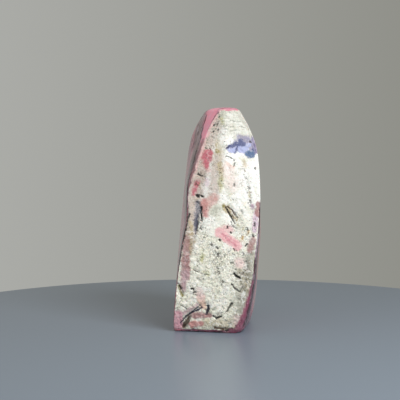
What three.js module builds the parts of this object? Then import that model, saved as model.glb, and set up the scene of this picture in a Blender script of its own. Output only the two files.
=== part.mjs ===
// A free-standing slab of pink opal, ground to a tall rounded wedge that stands on its flat foot.
// Its narrow front is a nearly flat face of pale host rock. Both broad sides and the back are polished.
// Millimetres, +Z up, the narrow face towards -Y, the origin at the middle of the foot.
import * as THREE from "three";
import { mergeVertices } from "three/addons/utils/BufferGeometryUtils.js";

// Driving dimensions.
const HEIGHT = 115;
const FACE_TOP = 112.2; // the pale face ends here, and the polished crown starts
const FOOT_ROUND = 2.2; // height of the worn edge round the foot
const FOOT_INSET = 1.5; // how far that edge draws in at the very bottom
const CROWN_INSET = 0.93; // share of the last section that the crown draws in
const CROWN_GATHER = 1.35; // how evenly its rings draw in: 1 is even, more keeps them near the edge
const CROWN_DOME = 2.6; // how fast the crown rises from that edge
const EDGE_BAND = 0.8; // width of the worn line along the face's edges
const BACK_SQUARENESS = 2.25; // exponent of the back's curve: 2 is an ellipse, more is squarer
const SIDE_SWELL = 1.7; // how soon the broad sides swell behind the face: 1 is a straight taper
const LEFT_BEVEL_WAY = new THREE.Vector2(-0.62, 0.78); // from the face's left edge across its bevel
const RIGHT_BEVEL_WAY = new THREE.Vector2(0.72, 0.69);

// Profiles: how a measure changes with height. Each is a list of [height, value].
const FRONT = [[0, -35.4], [3, -36.6], [18, -37.8], [48, -38.4], [78, -35.4], [98, -31], [112.2, -27.2]];
const BACK = [[0, 30], [6, 34], [20, 37.8], [38, 39.4], [56, 37.8], [72, 33.4], [86, 26.6], [97, 18.6], [105, 10.6],
  [110, 4.2], [112.2, 0.4]];
const WIDEST = [[0, 0], [40, 3], [70, 0], [90, -5], [105, -11], [112.2, -14]]; // depth at which the slab is thickest
const SIDE_LEFT = [[0, -20.4], [5, -21.7], [20, -22.3], [44, -20.9], [58, -19.6], [71, -18.3], [84, -16.9],
  [96, -15.1], [101, -13.7], [106, -11.4], [109.5, -9.3], [112.2, -7.6]];
const SIDE_RIGHT = [[0, 18], [6, 19.8], [16, 21.4], [27, 22.3], [38, 23], [50, 23.6], [65, 22.6], [79, 21.6],
  [90, 20.2], [99, 18], [105, 15.6], [109.5, 13.2], [112.2, 11.4]];
const FACE_LEFT = [[0, -22.6], [9, -22.5], [19, -21.7], [29, -20.6], [40, -19.3], [50, -17.5], [58, -15.9],
  [67, -15.7], [74, -15.1], [82, -12.6], [92, -9.3], [100, -6.4], [107, -3.4], [112.2, 0.3]];
const FACE_RIGHT = [[0, 8.8], [3, 10], [7, 11.5], [12, 13.1], [20, 15.3], [30, 17.3], [42, 18.7], [52, 20],
  [67, 20.9], [80, 20.6], [90, 19.8], [98, 17.9], [105, 14.9], [112.2, 11]];
const RIDGE = [[0, -19.5], [20, -17.5], [40, -13.6], [50, -10.6], [57, -6.6], [64, -1.8], [72, 1.2], [85, 2.4],
  [98, 4], [106, 3.2], [112.2, 2.6]]; // the soft ridge where the face's shaded left part turns away
const LEFT_BEVEL = [[0, 0.9], [60, 1], [72, 1.6], [80, 2.6], [92, 3.4], [104, 4.6], [112.2, 6]]; // width
const RIGHT_BEVEL = [[0, 4.8], [6, 4.4], [14, 3.4], [26, 2.4], [40, 1.6], [60, 0.9], [112.2, 1]];
const LEFT_TURN = [[0, 0.1], [30, 0.2], [60, 0.24], [90, 0.24], [112.2, 0.3]]; // slope of the left part of the face
const RIGHT_TURN = [[0, -0.19], [14, -0.15], [30, -0.08], [50, -0.01], [70, 0.04], [112.2, 0.05]]; // of its right part
const BACK_LEAN = [[0, 1.5], [40, 2.5], [80, -1.5], [112.2, -2]]; // how far the back's ridge stands off centre

// The grid of the surface: columns run round the stone from the ridge, over the right side.
const RIGHT_COLUMNS = 14;
const BEVEL_COLUMNS = 2;
const SIDE_COLUMNS = 9;
const BACK_COLUMNS = 20;
const LEFT_COLUMNS = 8;
const COLUMNS = RIGHT_COLUMNS + 2 * BEVEL_COLUMNS + 2 * SIDE_COLUMNS + BACK_COLUMNS + LEFT_COLUMNS;
const FOOT_LEVELS = 4;
const BODY_LEVELS = 52;
const CROWN_LEVELS = 7;
const LEVELS = FOOT_LEVELS + BODY_LEVELS + CROWN_LEVELS;

// Natural openings in the pale face, as short grooves: two ends [x, height], half width and depth.
const GROOVES = [
  { ends: [[-9.9, 80.5], [-6.9, 79.5]], half: 1, depth: 0.4 }, // the slot under the pink drop
  { ends: [[-11.4, 69.6], [-8.2, 69]], half: 1.2, depth: 0.7 }, // the two pits over the vug
  { ends: [[-10.4, 65], [-10.9, 52]], half: 1.7, depth: 1.1 }, // the long dark vug beside the left edge
  { ends: [[4.6, 63.5], [8.6, 57]], half: 1.3, depth: 0.7 }, // the slanting healed crack
  { ends: [[8.4, 29.8], [10.4, 28.3]], half: 1.5, depth: 1.2 }, // the black pit
  { ends: [[-21.2, 22.4], [-18.8, 20.2]], half: 1.4, depth: 0.9 }, // the nick in the left edge
  { ends: [[-5.4, 14], [-5.4, 9.6]], half: 1.3, depth: 1 }, // the upright pit over the foot
  { ends: [[4.4, 11.8], [6.9, 15.5]], half: 1, depth: 0.5 }, // the short slanting line
  { ends: [[-2.4, 7.8], [1, 7.6]], half: 1.2, depth: 0.8 }, // the small open seam
  { ends: [[-15, 9.6], [-9, 13.6]], half: 1.1, depth: 0.4 }, // the double line that rises from the vein
  { ends: [[-18.6, 4.4], [-15, 9.6]], half: 1.9, depth: 0.8 }, // the crumbly dark vein at the foot
];

// The value of a profile at a height, on a smooth curve through its points.
function measure(profile, height) {
  const last = profile.length - 1;
  const at = THREE.MathUtils.clamp(height, profile[0][0], profile[last][0]);
  const heights = profile.map((point) => point[0]);
  const values = profile.map((point) => point[1]);
  return new THREE.CubicInterpolant(heights, values, 1, new Float32Array(1)).evaluate(at)[0];
}

// How deep the grooves cut the pale face at a place on it.
function grooveDepth(x, height) {
  const place = new THREE.Vector3(x, height, 0);
  const nearest = new THREE.Vector3();
  let depth = 0;
  for (const { ends, half, depth: deepest } of GROOVES) {
    const line = new THREE.Line3(new THREE.Vector3(...ends[0], 0), new THREE.Vector3(...ends[1], 0));
    line.closestPointToPoint(place, true, nearest);
    depth += deepest * Math.exp(-((place.distanceTo(nearest) / half) ** 2));
  }
  return depth;
}

// Evenly spaced points after the first end, up to and including the second.
function straight(from, to, count) {
  return Array.from({ length: count }, (_, i) => from.clone().lerp(to, (i + 1) / count));
}

// One half of the pale face, from the ridge to an edge, with its last point before the worn line.
function faceHalf(ridge, edge, count) {
  const shoulder = edge.clone().lerp(ridge, EDGE_BAND / edge.distanceTo(ridge));
  return [...straight(ridge, shoulder, count - 1), edge];
}

// A broad side, from its bevel to the thickest place, swelling outwards.
function sideCurve(start, thickest) {
  return Array.from({ length: SIDE_COLUMNS }, (_, i) => {
    const share = (i + 1) / SIDE_COLUMNS;
    const swell = 1 - (1 - share) ** SIDE_SWELL;
    return new THREE.Vector2(
      THREE.MathUtils.lerp(start.x, thickest.x, swell),
      THREE.MathUtils.lerp(start.y, thickest.y, share),
    );
  });
}

// The back, from the thickest place on the right round to the one on the left, as half a leaning superellipse.
function backCurve(right, left, depth, lean) {
  const middle = (right.x + left.x) / 2;
  const half = (right.x - left.x) / 2;
  const power = 2 / BACK_SQUARENESS;
  return Array.from({ length: BACK_COLUMNS }, (_, i) => {
    const angle = (Math.PI * (i + 1)) / BACK_COLUMNS;
    const across = Math.sign(Math.cos(angle)) * Math.abs(Math.cos(angle)) ** power;
    const back = Math.sin(angle) ** power;
    return new THREE.Vector2(middle + half * across + lean * back ** 2, right.y + (depth - right.y) * back);
  });
}

// The stone's outline at a height, seen from above, as one point for each column.
function outline(height) {
  const front = measure(FRONT, height);
  const ridge = new THREE.Vector2(measure(RIDGE, height), front);
  const leftEdge = new THREE.Vector2(measure(FACE_LEFT, height), front);
  const rightEdge = new THREE.Vector2(measure(FACE_RIGHT, height), front);
  leftEdge.y += measure(LEFT_TURN, height) * (ridge.x - leftEdge.x);
  rightEdge.y += measure(RIGHT_TURN, height) * (rightEdge.x - ridge.x);

  const leftSide = leftEdge.clone().addScaledVector(LEFT_BEVEL_WAY, measure(LEFT_BEVEL, height));
  const rightSide = rightEdge.clone().addScaledVector(RIGHT_BEVEL_WAY, measure(RIGHT_BEVEL, height));
  const widest = measure(WIDEST, height);
  const right = new THREE.Vector2(measure(SIDE_RIGHT, height), widest);
  const left = new THREE.Vector2(measure(SIDE_LEFT, height), widest);

  return [
    ridge,
    ...faceHalf(ridge, rightEdge, RIGHT_COLUMNS),
    ...straight(rightEdge, rightSide, BEVEL_COLUMNS),
    ...sideCurve(rightSide, right),
    ...backCurve(right, left, measure(BACK, height), measure(BACK_LEAN, height)),
    ...sideCurve(leftSide, left).slice(0, -1).reverse(),
    leftSide,
    ...straight(leftSide, leftEdge, BEVEL_COLUMNS),
    ...faceHalf(ridge, leftEdge, LEFT_COLUMNS).slice(0, -1).reverse(),
  ];
}

// One level of the surface: its height, and how far its outline is drawn in towards its own middle.
function level(index) {
  if (index < FOOT_LEVELS) {
    const angle = (Math.PI / 2) * (index / FOOT_LEVELS);
    return { height: FOOT_ROUND * (1 - Math.cos(angle)), inset: FOOT_INSET * (1 - Math.sin(angle)), crown: 0 };
  }
  if (index <= FOOT_LEVELS + BODY_LEVELS) {
    const share = (index - FOOT_LEVELS) / BODY_LEVELS;
    return { height: THREE.MathUtils.lerp(FOOT_ROUND, FACE_TOP, share), inset: 0, crown: 0 };
  }
  const share = (index - FOOT_LEVELS - BODY_LEVELS) / CROWN_LEVELS;
  return { height: FACE_TOP, inset: 0, crown: share };
}

// The mean place of some points.
function mean(points) {
  const sum = points.slice(1).reduce((total, point) => total.add(point), points[0].clone());
  return sum.divideScalar(points.length);
}

// Every point of one level. The crown rises as its outline closes in on the middle.
function ring(index) {
  const { height, inset, crown } = level(index);
  const points = outline(height);
  const middle = mean(points);
  const rise = (HEIGHT - FACE_TOP) * (1 - (1 - crown) ** CROWN_DOME);
  return points.map((point) => {
    const reach = point.distanceTo(middle);
    const drawnIn = point.clone().lerp(middle, inset / reach + CROWN_INSET * crown ** CROWN_GATHER);
    return new THREE.Vector3(drawnIn.x, drawnIn.y, height + rise);
  });
}

// Cuts the grooves into a ring's points where they lie on the pale face.
function carve(points) {
  return points.map((point, column) => {
    const onFace = column <= RIGHT_COLUMNS || column >= COLUMNS - LEFT_COLUMNS;
    return onFace ? point.clone().setY(point.y + grooveDepth(point.x, point.z)) : point;
  });
}

// The stone as a closed surface: a unit cylinder whose rings are moved onto the stone's own.
function stoneGeometry() {
  const rings = Array.from({ length: LEVELS + 1 }, (_, i) => carve(ring(i)));
  const geometry = new THREE.CylinderGeometry(1, 1, LEVELS, COLUMNS, LEVELS);
  const position = geometry.getAttribute("position");
  const vertex = new THREE.Vector3();
  for (let i = 0; i < position.count; i++) {
    vertex.fromBufferAttribute(position, i);
    const points = rings[Math.round(vertex.y + LEVELS / 2)];
    const turn = Math.atan2(vertex.x, vertex.z) / (2 * Math.PI);
    const column = (Math.round(turn * COLUMNS) + COLUMNS) % COLUMNS;
    const isCapCentre = Math.hypot(vertex.x, vertex.z) < 0.5;
    const place = isCapCentre ? mean(points) : points[column];
    position.setXYZ(i, place.x, place.y, place.z);
  }
  geometry.deleteAttribute("normal");
  geometry.deleteAttribute("uv");
  const closed = mergeVertices(geometry, 1e-4);
  closed.computeBoundingBox();
  const centre = closed.boundingBox.getCenter(new THREE.Vector3());
  closed.translate(-centre.x, -centre.y, -closed.boundingBox.min.z);
  closed.computeVertexNormals();
  return closed;
}

const opal = new THREE.MeshStandardMaterial({ color: 0xd98c9c, roughness: 0.22, metalness: 0 });
const stone = new THREE.Mesh(stoneGeometry(), opal);
stone.name = "pink_opal";

const part = new THREE.Group();
part.add(stone);

export default part;
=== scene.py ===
"""Models and finishes a free-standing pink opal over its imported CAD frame.

The stone is one piece: a fine copy of the CAD solid with natural relief, and one procedural material that
is pale speckled host rock on the narrow front face and polished opal everywhere else.
Marks are placed in the part's own millimetres: x to the right, z up, seen from the front face.
"""
import math
from collections import namedtuple

import bmesh
import bpy
from mathutils import Color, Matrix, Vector, noise


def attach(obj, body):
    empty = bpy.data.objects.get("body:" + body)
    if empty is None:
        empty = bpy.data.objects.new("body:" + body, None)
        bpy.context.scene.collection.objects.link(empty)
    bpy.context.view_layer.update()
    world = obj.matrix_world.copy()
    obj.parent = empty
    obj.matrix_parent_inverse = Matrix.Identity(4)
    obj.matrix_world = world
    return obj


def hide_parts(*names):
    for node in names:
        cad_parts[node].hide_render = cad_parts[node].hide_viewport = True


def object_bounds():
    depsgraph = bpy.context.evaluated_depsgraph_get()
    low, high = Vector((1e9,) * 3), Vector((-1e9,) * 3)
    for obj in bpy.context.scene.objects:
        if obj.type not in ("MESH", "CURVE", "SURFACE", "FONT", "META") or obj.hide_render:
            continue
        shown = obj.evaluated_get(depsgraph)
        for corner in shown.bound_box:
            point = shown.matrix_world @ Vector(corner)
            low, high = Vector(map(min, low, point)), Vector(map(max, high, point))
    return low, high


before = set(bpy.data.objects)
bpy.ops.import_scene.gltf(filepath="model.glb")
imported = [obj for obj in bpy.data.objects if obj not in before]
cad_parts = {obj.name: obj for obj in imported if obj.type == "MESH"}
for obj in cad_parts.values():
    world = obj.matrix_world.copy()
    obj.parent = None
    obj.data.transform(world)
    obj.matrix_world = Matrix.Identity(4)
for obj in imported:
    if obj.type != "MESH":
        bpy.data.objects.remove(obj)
cad_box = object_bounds()

bl_info = {
    "name": "Pink Opal",
    "version": (1, 0, 0),
    "blender": (4, 5, 0),
    "location": "3D View > Sidebar > Pink Opal",
    "description": "Models and finishes a free-standing pink opal over its packed frame",
    "category": "Object",
}

CAD_NODE = "pink_opal"
STONE_NAME = "opal_stone"
MM = 0.001

# The front face: its faces look towards -Y within this angle, and its bevels turn further away.
FRONT_WAY = Vector((0, -1, 0))
FRONT_ANGLE = math.radians(38)

# The CAD solid's loose triangles are merged within this distance, and joined to quads up to these angles.
WELD = 0.002 * MM
JOIN_ACROSS = math.radians(35)
JOIN_CORNERS = math.radians(75)

# The foot stays flat up to this height, and the relief comes in from there to twice as high.
FLAT_FOOT = 0.4 * MM
# Painted shade in the pits and cracks: a cavity of this depth is fully dark.
DARK_CAVITY = 0.5 * MM

# The scattered pits: cells of their pattern for each millimetre, the share of cells that stay empty, and
# a pit's radius in cells.
PIT_CELLS = 0.42
PITLESS = 0.72
PIT_RADIUS = 0.22

# In millimetres: how wide a stroke's sloping wall is, and how far from its start a stroke is looked for.
STROKE_WALL = 0.6
STROKE_REACH = 9
# The strokes' outlines waver with a vector noise. Without a seed it starts from the clock, and differs
# each run.
NOISE_SEED = 1

# Values that are the same all over the stone.
STONE_FINISH = {
    "IOR": 1.45,
    "Subsurface Weight": 0.08,
    "Subsurface Radius": (1.0, 0.45, 0.4),
    "Subsurface Scale": 1.0 * MM,
}
FLOOR_ROUGHNESS = 0.32
SENSOR_WIDTH = 36.0

# A mark is a stroke or a patch of a named colour: every place no further than half from the line between
# its ends.
# soft is how far its edge fades, strength how much it covers, depth how far it is cut into the face and
# taper how much half grows or shrinks on the way to its end. All are in millimetres but colour and strength,
# which is a share.
Mark = namedtuple("Mark", "colour start end half soft strength depth taper", defaults=(0.0, 0.0))


def marks(rows_by_colour):
    """Marks from rows of their values, listed under their colours in the order in which they are laid."""
    return [Mark(colour, *row) for colour, rows in rows_by_colour.items() for row in rows]


# Stains of the host rock on the pale face and painted shade on it, each colour from the crown down. Ends are
# (x, z).
FACE_STAINS = marks({
    # Partly painted shade on the face's left part, which turns from the light, and partly pinkish brown
    # rock.
    "dusk_and_painted_shade": (
        ((-1.6, 108), (-7, 92), 3.6, 2.6, 0.8),
        ((-8, 90), (-11.5, 72), 4.6, 2.6, 0.8),
        ((-1.5, 88), (-3.5, 70), 3.6, 2.6, 0.65),
        ((-13, 68), (-15.5, 44), 3.4, 2, 0.8),
    ),
    # The first is painted shade on the lower right, which turns from the light; the second darkens the
    # crown's upper right.
    "shade": (
        ((14, 34), (11, 8), 4.6, 4, 0.6),
        ((5, 110.6), (13.4, 101), 6, 3, 0.42),
    ),
    # Painted shade on the lower right edge, where the face turns from the light.
    "lower_right_shade": (
        ((16.6, 43), (14, 28), 2.4, 2.2, 0.75),
        ((14, 28), (10.2, 6), 2.8, 2.4, 0.7),
    ),
    "moss": (
        ((1.3, 109.4), (1.8, 106.2), 1, 0.9, 0.75),
        ((1.2, 84), (1, 73.6), 1.4, 1.2, 0.5),
        ((-8.7, 39.6), (-8.6, 38), 1.1, 0.7, 0.8),
        ((-6.6, 31.6), (-6, 30), 1.2, 0.9, 0.7),
    ),
    "olive": (
        ((-0.9, 92.2), (-0.7, 91.4), 0.9, 0.5, 0.9),
        ((-0.7, 95.2), (-0.8, 94.2), 0.6, 0.6, 0.55),
        ((1.6, 80), (1.2, 74.4), 0.5, 0.8, 0.6),
        ((-10.2, 75.6), (-9.8, 73.6), 0.7, 0.6, 0.7),
        ((2.7, 64.6), (4, 63.4), 0.8, 0.5, 0.95, 0, -0.2),
        ((8.8, 54.8), (11.2, 52.8), 0.45, 0.4, 0.8),
        ((11.2, 52.8), (13.4, 54.6), 0.45, 0.4, 0.7),
        ((-14.3, 48), (-14.6, 43), 0.5, 0.6, 0.6),
        ((-20.5, 22.6), (-18.6, 19.6), 0.9, 0.5, 0.95),
    ),
    "tan": (
        ((-0.4, 97), (0.8, 89), 1.6, 1.4, 0.5),
        ((0.2, 85.8), (0.6, 82.8), 1.6, 0.7, 0.8),
        ((4.6, 63.4), (8.6, 57.2), 1.3, 0.5, 0.85, 0, -0.5),
        ((-14.4, 56), (-14.6, 40), 1.2, 0.8, 0.85),
        ((11.6, 31.4), (14.4, 22.6), 2.2, 2.2, 0.55),
        ((-7, 4.6), (6.4, 5), 2.4, 1.4, 0.6),
    ),
    "ochre": (
        ((14.9, 52.2), (14.2, 49.8), 0.7, 0.6, 0.75),
        ((11.3, 48.2), (11.7, 46.8), 1, 0.6, 0.95),
        ((-6.9, 14.4), (-6.7, 12.4), 0.55, 0.5, 0.7),
    ),
    "umber": (
        ((-2.5, 2.2), (4.4, 2), 0.75, 0.4, 0.95, 0, -0.2),
    ),
})

# Patches of opal and clean rock on the pale face, which have fewer specks.
FACE_OPALS = marks({
    "peach": (
        ((4, 86), (7, 83.8), 1, 0.9, 0.65),
        ((-9.3, 18.4), (-8, 13.6), 2, 0.9, 0.9, 0, -0.4),
    ),
    "blush": (
        ((4.4, 82.4), (6.8, 75), 3, 2.4, 0.5),
        ((10, 36.4), (10.6, 35.4), 2.4, 1.4, 0.85),
        ((-9.8, 21.6), (-9.4, 18.6), 2, 1.2, 0.75),
        ((9.4, 8.6), (8.4, 5), 1.6, 1, 0.7),
    ),
    "chalk": (
        ((-4.4, 86), (-6.6, 70), 1.2, 1, 0.6),
        ((-8.8, 74), (-4, 71.4), 0.7, 0.8, 0.5),
    ),
    "lilac": (
        ((-6.3, 78), (-6, 75.4), 0.9, 0.9, 0.6),
        ((18.9, 60.4), (17.9, 52), 1.4, 0.7, 0.95),
    ),
    "violet": (
        ((10.8, 98.8), (15.6, 98), 2.1, 0.8, 0.85),
        ((15, 97.4), (18, 93.6), 2.4, 0.8, 0.9),
        ((8.6, 97.2), (10, 97.6), 1.2, 0.7, 0.7),
    ),
    "sky": (
        ((6, 93.4), (7.6, 92.8), 1.9, 0.5, 1),
        ((10.6, 93.6), (13.4, 92.8), 2.1, 0.5, 1),
        ((13.6, 94.6), (15.4, 95), 1.3, 0.5, 0.9),
    ),
    "indigo": (
        ((4.2, 93.8), (6.8, 95), 0.6, 0.4, 0.9, 0, 0.4),
        ((6.8, 95.2), (10.6, 96), 1.1, 0.5, 0.95, 0, 0.5),
        ((10.8, 97.2), (12.4, 95.8), 1.4, 0.7, 0.95),
        ((9.8, 94.6), (8, 91.2), 0.6, 0.4, 0.95),
        ((17.2, 92.4), (18.6, 91.2), 0.8, 0.5, 0.85),
    ),
    "deep_blue": (
        ((15, 90.8), (17.6, 90.6), 1.9, 0.6, 1),
        ((14.2, 90), (14.6, 89.4), 0.8, 0.5, 0.8),
    ),
    "coral": (
        ((-8.2, 90), (-5.4, 82), 2.2, 1.4, 0.55, 0, -1.2),
        ((-7.4, 66), (-6.9, 60.4), 2.2, 0.9, 0.95, 0, -0.6),
        ((-6.2, 64.6), (-2.6, 68.2), 2.2, 1.4, 0.65),
        ((-15.6, 41), (-15.3, 27.4), 0.6, 0.5, 0.8),
        ((-14.2, 4.2), (-9.6, 4.6), 1.7, 0.6, 0.95),
    ),
    "drop_pink": (
        ((-5.6, 90.6), (-5.9, 88.8), 2.5, 0.8, 0.95),
        ((-5.9, 88.8), (-6.6, 84), 2.2, 0.8, 0.95, 0, -1.4),
        ((-11.2, 76.2), (-13, 70.4), 1.4, 0.8, 0.9, 0, -0.4),
    ),
    "rose": (
        ((19.9, 65.6), (19.4, 60.4), 1.3, 0.5, 0.95),
        ((17.4, 47.6), (15.6, 42.4), 1.4, 0.8, 0.85),
        ((-16.4, 48), (-16.9, 38), 1.7, 1, 0.8, 0, 0.4),
        ((-16.9, 38), (-17.2, 29), 2.2, 0.8, 0.95),
        ((-13.2, 8.8), (-4.8, 9), 1.6, 0.6, 0.95, 0, -0.3),
    ),
    "mauve": (
        ((16.8, 64.8), (17.1, 63.2), 1, 0.6, 0.8),
    ),
    "blossom": (
        ((0.6, 50.8), (9.2, 44.2), 2.7, 0.7, 1, 0, -0.4),
        ((2.4, 52.8), (5.6, 52.6), 1.6, 1, 0.8),
    ),
    "hot_pink": (
        ((1.6, 50.4), (8.2, 44.6), 0.7, 0.6, 0.8),
        ((5.6, 48.8), (8.4, 46.4), 0.4, 0.4, 0.6),
    ),
    "dusty_rose": (
        ((-17.3, 30), (-18.2, 22.4), 2.2, 1, 0.95, 0, -0.8),
        ((-17.6, 44), (-17.2, 32), 0.45, 0.4, 0.6),
        ((-18.4, 9.6), (-11.2, 14.2), 1.2, 0.7, 0.85, 0, -0.5),
    ),
    "foot_pink": (
        ((-21.2, 8), (-20.8, 4), 3.2, 0.6, 0.95),
    ),
})

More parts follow.
